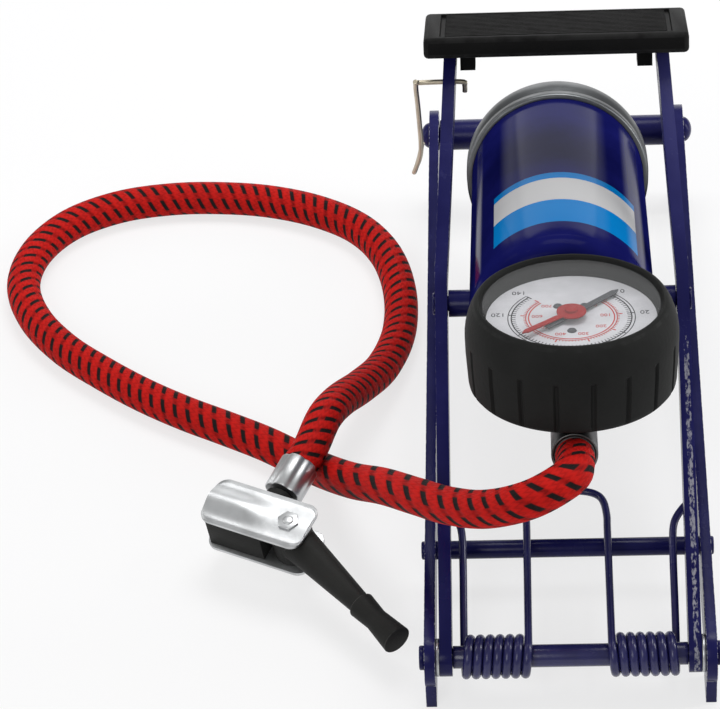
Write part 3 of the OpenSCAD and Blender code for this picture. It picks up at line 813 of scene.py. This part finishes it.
RING_PROFILE = [
    (30.1, 108), (31.0, 108), (31.6, 108.4), (31.8, 109.2), (31.8, 111.6), (31.3, 112.3), (31.3, 113.2),
    (32.0, 113.9), (32.0, 120.4), (31.8, 121.3), (31.2, 122.1), (30.2, 122.5), (12, 122.5), (9.4, 122.5),
    (9, 122.1), (9, 120.4), (9.4, 120.1), (30.1, 120.1),
]
bm = laid_down(spun(RING_PROFILE, BARREL_STEPS))
keep("ring_chrome", bm, "cylinder", CHROME, BARREL, ["barrel_ring"], sharp=50)
print("barrel and ring turned")

# %% [markdown]
# ## Gauge
# The gauge is a round can in a rubber boot. The boot has a rolled lip and shallow grip grooves up its side.
# It is turned from a profile in 324 steps, eighteen to a groove, and then two of every eighteen rows are
# pushed in. Cutting the grooves with a boolean would leave a rougher mesh.

# %% Gauge boot
GROOVES, GROOVE_STEPS, GROOVE_ROWS, GROOVE_DEEP = 18, 18, (0, 1), 0.9
GROOVE_OUT, GROOVE_LOW, GROOVE_HIGH = 31.5, 1.5, 18
LIP_R, LIP_Z, LIP_RUB_AND_HIGHLIGHT = 29.5, 28, 0.8
BOOT_PROFILE = [
    (3, 0), (28, 0), (29.8, 0.2), (31.2, 0.9), (32.1, 2.1), (32.3, 3.2), (32.6, 8), (32.9, 13), (33, 17.6),
    (33, 18.6), (32.95, 20), (32.7, 22), (32.1, 24.5), (31.3, 26.8), (30.5, 28.4), (29.8, 29.4), (29.1, 29.9),
    (28.5, 29.9), (28.1, 29.5), (27.8, 28.6), (27.5, 26.4), (27.2, 23.6), (26.9, 22.5), (25.5, 22.5),
    (25.5, 3), (3, 3),
]
bm = spun(BOOT_PROFILE, GROOVES * GROOVE_STEPS)
lip_rub_and_highlight = bm.faces.layers.float.new("edge_wear")
for vert in bm.verts:
    wide, high = vert.co.xy.length / MM, vert.co.z / MM
    row = round(math.atan2(vert.co.y, vert.co.x) / (2 * math.pi) * GROOVES * GROOVE_STEPS) % GROOVE_STEPS
    if wide > GROOVE_OUT and GROOVE_LOW < high < GROOVE_HIGH and row in GROOVE_ROWS:
        vert.co.xy *= (wide - GROOVE_DEEP) / wide
# the lip's outer top is marked to turn paler: rubbing and a painted rim highlight
for face in bm.faces:
    middle = face.calc_center_median() / MM
    if middle.xy.length > LIP_R and middle.z > LIP_Z:
        face[lip_rub_and_highlight] = LIP_RUB_AND_HIGHLIGHT
keep("gauge_boot", bm, "cylinder", BOOT_RUBBER, GAUGE_FOOT, ["gauge_housing"], sharp=32)
print("boot with", GROOVES, "grooves")

# %% [markdown]
# ## Dial
# The white dial carries an outer black scale and an inner red one, read from the rear of the pump, so its
# print is turned half round. A picture could carry the print, but would blur up close. Ticks, arcs and plain
# numbers are thin raised shapes instead, gathered into one piece for each ink.

# %% Dial plate
DIAL_TOP, DIAL_THICK, DIAL_R, DIAL_HOLE_R, DIAL_STEPS = 19.95, 0.9, 26.3, 1, 96
bm = spun([
    (DIAL_HOLE_R, DIAL_TOP - DIAL_THICK), (DIAL_R, DIAL_TOP - DIAL_THICK), (DIAL_R, DIAL_TOP),
    (DIAL_HOLE_R, DIAL_TOP),
], DIAL_STEPS)
keep("dial_plate", bm, "cylinder", DIAL_CARD, GAUGE, ["gauge_dial"])
print("dial plate turned")

# %% Dial print
INK = 0.06
SCALE_START, SCALE_SWEEP, SCALE_STEPS = 45, -270, 90
LONGER, LONG_WIDE, SHORT_WIDE = 1.0, 0.42, 0.25


def around_dial(degrees):
    return Matrix.Rotation(math.radians(degrees), 4, "Z")


def dial_place(share, radius):
    outward = Matrix.Translation((radius * MM, 0, (DIAL_TOP + INK / 2) * MM))
    return around_dial(SCALE_START + SCALE_SWEEP * share) @ outward


def add_box(bm, size, place):
    made = bmesh.ops.create_cube(bm, size=1)
    bmesh.ops.transform(bm, matrix=place @ Matrix.Diagonal((*(v * MM for v in size), 1)), verts=made["verts"])


def add_arc(bm, inner, outer):
    start = around_dial(SCALE_START)
    corners = [(inner, 0), (outer, 0), (outer, INK), (inner, INK)]
    verts = [bm.verts.new(start @ (Vector((r, 0, DIAL_TOP + z)) * MM)) for r, z in corners]
    edges = [bm.edges.new((verts[i], verts[(i + 1) % 4])) for i in range(4)]
    before = set(bm.edges)
    bmesh.ops.spin(
        bm, geom=verts + edges, cent=(0, 0, 0), axis=(0, 0, 1), dvec=(0, 0, 0),
        angle=math.radians(SCALE_SWEEP), steps=SCALE_STEPS, use_merge=False, use_duplicate=False,
    )
    ends = [e for e in bm.edges if len(e.link_faces) == 1 and (e in edges or e not in before)]
    bmesh.ops.holes_fill(bm, edges=ends, sides=4)


def add_number(bm, text, share, radius, height):
    curve = bpy.data.curves.new("number", "FONT")
    curve.body, curve.size, curve.extrude = text, height * MM, INK / 2 * MM
    curve.align_x = curve.align_y = "CENTER"
    holder = bpy.data.objects.new("number", curve)
    scene.collection.objects.link(holder)
    bpy.context.view_layer.update()
    mesh = bpy.data.meshes.new_from_object(holder.evaluated_get(bpy.context.evaluated_depsgraph_get()))
    centre = dial_place(share, radius).to_translation()
    mesh.transform(Matrix.Translation(centre) @ around_dial(180))
    bm.from_mesh(mesh)
    bpy.data.objects.remove(holder)
    bpy.data.curves.remove(curve)
    bpy.data.meshes.remove(mesh)


def print_scale(name, material, arcs, ticks, long_every, tick_in, tick_out, numbers, number_at, height):
    bm = bmesh.new()
    for inner, outer in arcs:
        add_arc(bm, inner, outer)
    for i in range(ticks + 1):
        long = i % long_every == 0
        tick_end = tick_out + (LONGER if long else 0)
        size = (tick_end - tick_in, LONG_WIDE if long else SHORT_WIDE, INK)
        add_box(bm, size, dial_place(i / ticks, (tick_in + tick_end) / 2))
    for i, number in enumerate(numbers):
        add_number(bm, str(number), i / (len(numbers) - 1), number_at, height)
    keep(name, tidy(bm), "cylinder", material, GAUGE)


print_scale(
    "dial_print_black", DIAL_BLACK, arcs=[(18.3, 18.7), (19.4, 19.7)], ticks=70, long_every=10,
    tick_in=17.2, tick_out=18.3, numbers=range(0, 141, 20), number_at=22.7, height=3.0,
)
print_scale(
    "dial_print_red", DIAL_RED, arcs=[(13.0, 13.4), (13.9, 14.2)], ticks=70, long_every=10,
    tick_in=13.9, tick_out=14.8, numbers=range(0, 701, 100), number_at=10.6, height=2.3,
)
print("dial printed in two inks")

# %% Dial rivets, pointers and lens
RIVET_ANGLES, RIVET_OUT, RIVET_R, RIVET_TOP_R, RIVET_HIGH = (60, 120, 270), 8.2, 1.5, 1.2, 0.4
bm = bmesh.new()
for a in RIVET_ANGLES:
    spot = around_dial(a) @ Matrix.Translation((RIVET_OUT * MM, 0, (DIAL_TOP + RIVET_HIGH / 2) * MM))
    bmesh.ops.create_cone(
        bm, cap_ends=True, segments=24, radius1=RIVET_R * MM, radius2=RIVET_TOP_R * MM, depth=RIVET_HIGH * MM,
        matrix=spot,
    )
keep("dial_rivets", bm, "cylinder", POINTER_GREY, GAUGE)
keep("pointer_arm", softened("pressure_pointer", width=0.15), "pointer", POINTER_GREY,
     stands_for=["pressure_pointer"])
keep("marker_arm", softened("marker_pointer", width=0.2), "marker", POINTER_RED,
     stands_for=["marker_pointer"])
keep("lens_window", softened("gauge_lens", width=0.2), "cylinder", CLEAR_LENS,
     stands_for=["gauge_lens"])
print("gauge dressed")

# %% [markdown]
# ## Pedal
# A black plastic tread with fine ribs along it, smooth ends and a thick front edge; two lugs under it grip
# the lever rails. A cube gets round edges, its top face is inset and sunk, and the ribs stand in that recess.

# %% Pedal
TREAD_W, TREAD_D, TREAD_T, TREAD_ROUND = 87, 36, 7, 1.6
BORDER, RECESS_SHARE, RECESS_FLANK, SUNK = 1.6, 75 / 80, 0.4, 0.9
RIBS, RIB_STEP, RIB_SIZE, RIB_SINK, RIB_ROUND = 16, 1.8, (73, 0.9, 1.2), 0.55, 0.25
LUG_SIZE, LUG_OUT, LUG_ALONG, LUG_UP = (5, 9, 7.2), 29.3, -1, -3.5
bm = bmesh.new()
add_box(bm, (TREAD_W, TREAD_D, TREAD_T), Matrix.Translation((0, 0, TREAD_T / 2 * MM)))
round_edges(bm, TREAD_ROUND, 3)
top = max(bm.faces, key=lambda f: f.normal.z * f.calc_area())
bmesh.ops.inset_individual(bm, faces=[top], thickness=BORDER * MM)
bmesh.ops.scale(bm, vec=(RECESS_SHARE, 1, 1), verts=top.verts)
bmesh.ops.inset_individual(bm, faces=[top], thickness=RECESS_FLANK * MM, depth=-SUNK * MM)
for i in range(RIBS):
    rib = bmesh.new()
    across = (i - (RIBS - 1) / 2) * RIB_STEP * MM
    add_box(rib, RIB_SIZE, Matrix.Translation((0, across, (TREAD_T - RIB_SINK) * MM)))
    round_edges(rib, RIB_ROUND, 1)
    spare = bpy.data.meshes.new("rib")
    rib.to_mesh(spare)
    bm.from_mesh(spare)
    rib.free()
    bpy.data.meshes.remove(spare)
for side in (-1, 1):
    add_box(bm, LUG_SIZE, Matrix.Translation((side * LUG_OUT * MM, LUG_ALONG * MM, LUG_UP * MM)))
keep("pedal_tread", bm, "lever", PEDAL_BLACK, PEDAL, ["pedal"])
print("pedal with", RIBS, "ribs")

# %% [markdown]
# ## Outlet and chuck
# The outlet under the gauge is a dark plated fitting. The chuck is a folded plate round a core of black
# plastic, with a hexagon rivet, a lever and a crimped ferrule on the hose. The plate's top is pressed up in a
# soft hump that no rounded CAD edge would give. So the CAD copy is cut off level below it, and a grid is
# lifted into the hump and closed underneath.

# %% Outlet and chuck plate
for node in ("outlet_block", "outlet_collar"):
    bm = softened(node, width=0.35)
    keep(node + "_dark", bm, "cylinder", DARK_METAL, stands_for=[node])
PLATE_LEVEL = 7.95 * MM
bm = softened("chuck_bracket", width=0.45, segments=3)
bmesh.ops.transform(bm, matrix=CHUCK.inverted(), verts=bm.verts)
cut = bmesh.ops.bisect_plane(
    bm, geom=bm.verts[:] + bm.edges[:] + bm.faces[:], plane_co=(0, 0, PLATE_LEVEL), plane_no=(0, 0, 1),
    clear_outer=True,
)["geom_cut"]
bmesh.ops.triangle_fill(bm, use_beauty=True, edges=[g for g in cut if isinstance(g, bmesh.types.BMEdge)])
bmesh.ops.recalc_face_normals(bm, faces=bm.faces)
print("open edges left on the cut plate:", sum(e.is_boundary for e in bm.edges))
keep("chuck_plate", bm, "base", ZINC, CHUCK, ["chuck_bracket"])

# %% Pressed top of the chuck
PRESSED_HALF, CORNER_FROM, CORNER_R, CORNER_IN = 18.3, 14.5, 4, 4.9
PRESSED_Z, PRESSED_FLOOR, PRESSED_COLUMNS, PRESSED_ROWS = 8.15, 7.0, 62, 42
HUMP_FROM, HUMP_RUN, HUMP_LOW, HUMP_RISE, HUMP_WIDE = 6, 14, 0.55, 1.35, 6.8
EDGE_FROM, EDGE_DROP = 0.82, 1.0


def plate_half(x):
    """Half the plate's width at x, which narrows round the corners."""
    beyond = max(abs(x) - CORNER_FROM, 0)
    return CORNER_IN + math.sqrt(max(CORNER_R ** 2 - beyond * beyond, 0))


def plate_top(x, share):
    """A point of the pressed top: a hump along the middle that rises away from the rivet, and a soft edge."""
    y = share * plate_half(x)
    rising = min(max((HUMP_FROM - x) / HUMP_RUN, 0), 1)
    height = HUMP_LOW + HUMP_RISE * rising * rising * (3 - 2 * rising)
    hump = height * 0.5 * (1 + math.cos(math.pi * min(abs(y) / HUMP_WIDE, 1)))
    edge = max(abs(share) - EDGE_FROM, 0) / (1 - EDGE_FROM)
    return Vector((x, y, PRESSED_Z + hump - EDGE_DROP * edge * edge)) * MM


bm = bmesh.new()
bmesh.ops.create_grid(bm, x_segments=PRESSED_COLUMNS, y_segments=PRESSED_ROWS, size=1)
for vert in bm.verts:
    vert.co = plate_top(PRESSED_HALF * vert.co.x, vert.co.y)
rim = bmesh.ops.extrude_edge_only(bm, edges=[e for e in bm.edges if e.is_boundary])["geom"]
for vert in (g for g in rim if isinstance(g, bmesh.types.BMVert)):
    vert.co.z = PRESSED_FLOOR * MM
bmesh.ops.contextual_create(bm, geom=[e for e in bm.edges if e.is_boundary])
bmesh.ops.recalc_face_normals(bm, faces=bm.faces)
print("pressed top with", len(bm.faces), "faces")
keep("chuck_pressed_top", bm, "base", ZINC, CHUCK, sharp=50)

# %% Rest of the chuck
DOME_AT, DOME_SIZE = (11 * MM, 0, 9.25 * MM), (1.9, 1.9, 0.55, 1)
FERRULE_PROFILE = [(3.5, 14), (6.2, 14), (6.6, 14.4), (6.6, 26.4), (6.3, 27), (3.5, 27)]
FERRULE_STEPS, FOLDS, FOLD_DEEP, FOLD_OUT = 96, 6, 0.55, 6
dome = CHUCK @ Matrix.Translation(DOME_AT) @ Matrix.Diagonal(DOME_SIZE)
bm = softened("chuck_rivet", width=0.3)
bmesh.ops.create_uvsphere(bm, u_segments=24, v_segments=12, radius=MM, matrix=dome)
keep("chuck_hex", bm, "base", ZINC, stands_for=["chuck_rivet"])
keep("chuck_body", softened("chuck_core", width=0.5), "base", BLACK_PLASTIC,
     stands_for=["chuck_core"])
keep("chuck_handle_grip", softened("chuck_lever", width=0.8, segments=3), "chuck_handle", BLACK_PLASTIC,
     stands_for=["chuck_lever"])
bm = spun(FERRULE_PROFILE, FERRULE_STEPS)
for vert in bm.verts:
    wide = vert.co.xy.length / MM
    if wide > FOLD_OUT:
        fold = 0.5 * (1 + math.cos(FOLDS * math.atan2(vert.co.y, vert.co.x)))
        vert.co.xy *= (wide - FOLD_DEEP * fold ** 3) / wide
keep("ferrule_crimped", laid_down(bm), "base", ZINC, CHUCK, ["chuck_ferrule"], sharp=45)
print("ferrule with", FOLDS, "folds")

# %% [markdown]
# ## Hidden parts
# What is inside the barrel and the gauge is only seen when the part is opened, apart from the end of the
# piston rod. The CAD solids are good enough there, so they stay and only get their own finish.

# %% Hidden parts
INSIDE = {
    "piston_rod": CHROME, "piston": BLACK_PLASTIC, "piston_seal": SEAL_RUBBER, "gauge_movement": BRASS,
}
for node, material in INSIDE.items():
    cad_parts[node].data.materials.clear()
    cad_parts[node].data.materials.append(material)
print("hidden parts finished:", ", ".join(INSIDE))

# %% [markdown]
# ## Floor and light
# A pale floor keeps a soft shadow. For the camera, and in reflections, most of it is plain white, as in a
# studio cut-out. Lamps overhead and in front light the whole pump. A low panel behind it gives the barrel its
# broad highlight, and a narrow strip on each side gives a streak.

# %% Floor
FLOOR_HALF, FLOOR_TONE, WHITE_SHARE = 4, (0.86, 0.86, 0.87, 1), 0.72
bm = bmesh.new()
bmesh.ops.create_grid(bm, x_segments=1, y_segments=1, size=FLOOR_HALF)
floor_mesh = bpy.data.meshes.new("floor")
bm.to_mesh(floor_mesh)
bm.free()
floor = bpy.data.objects.new("floor", floor_mesh)
scene.collection.objects.link(floor)
floor_material = bpy.data.materials.new("pale_floor")
floor_material.use_nodes = True
tree = floor_material.node_tree
tree.nodes.remove(next(n for n in tree.nodes if n.type == "BSDF_PRINCIPLED"))
start = Sum(tree, None)
by_camera, in_gloss = start.make("LightPath"), start.make("LightPath", out=3)
pale = start.make("BsdfDiffuse", None, {"Color": FLOOR_TONE})
white = start.make("Emission", None, {"Color": (1, 1, 1, 1), "Strength": 1.0})
blend = start.make("MixShader", None, {0: (by_camera + in_gloss) * WHITE_SHARE, 1: pale, 2: white})
tree.links.new(blend.socket, next(n for n in tree.nodes if n.type == "OUTPUT_MATERIAL").inputs[0])
floor_mesh.materials.append(floor_material)
print("floor laid")

# %% Light
SKY_STRENGTH = 0.35
world = bpy.data.worlds.new("studio")
world.use_nodes = True
scene.world = world
sky = next(n for n in world.node_tree.nodes if n.type == "BACKGROUND")
sky.inputs["Color"].default_value = (1, 1, 1, 1)
sky.inputs["Strength"].default_value = SKY_STRENGTH


def lamp(name, place, aim, size, power):
    light = bpy.data.lights.new(name, "AREA")
    light.shape, light.size, light.size_y, light.energy = "RECTANGLE", size[0], size[1], power
    holder = bpy.data.objects.new(name, light)
    away = (Vector(place) - Vector(aim)).normalized()
    holder.matrix_world = Matrix.Translation(place) @ away.to_track_quat("Z", "Y").to_matrix().to_4x4()
    scene.collection.objects.link(holder)


lamp("overhead", (0.05, 0.35, 1.1), (0, 0.02, 0.05), (0.7, 0.5), 7)
lamp("front", (-0.5, -1.1, 0.9), (0, 0, 0.05), (0.6, 0.6), 4.5)
lamp("right_strip", (0.9, 0.1, 0.45), (0, 0.05, 0.05), (0.15, 0.9), 4)
lamp("back_panel", (0.0, 0.85, 0.25), (0, 0, 0.2), (0.52, 0.5), 1.1)
lamp("left_strip", (-0.9, 0.2, 0.5), (0, 0.05, 0.05), (0.15, 0.9), 1.4)
print(len(bpy.data.lights), "lamps set")
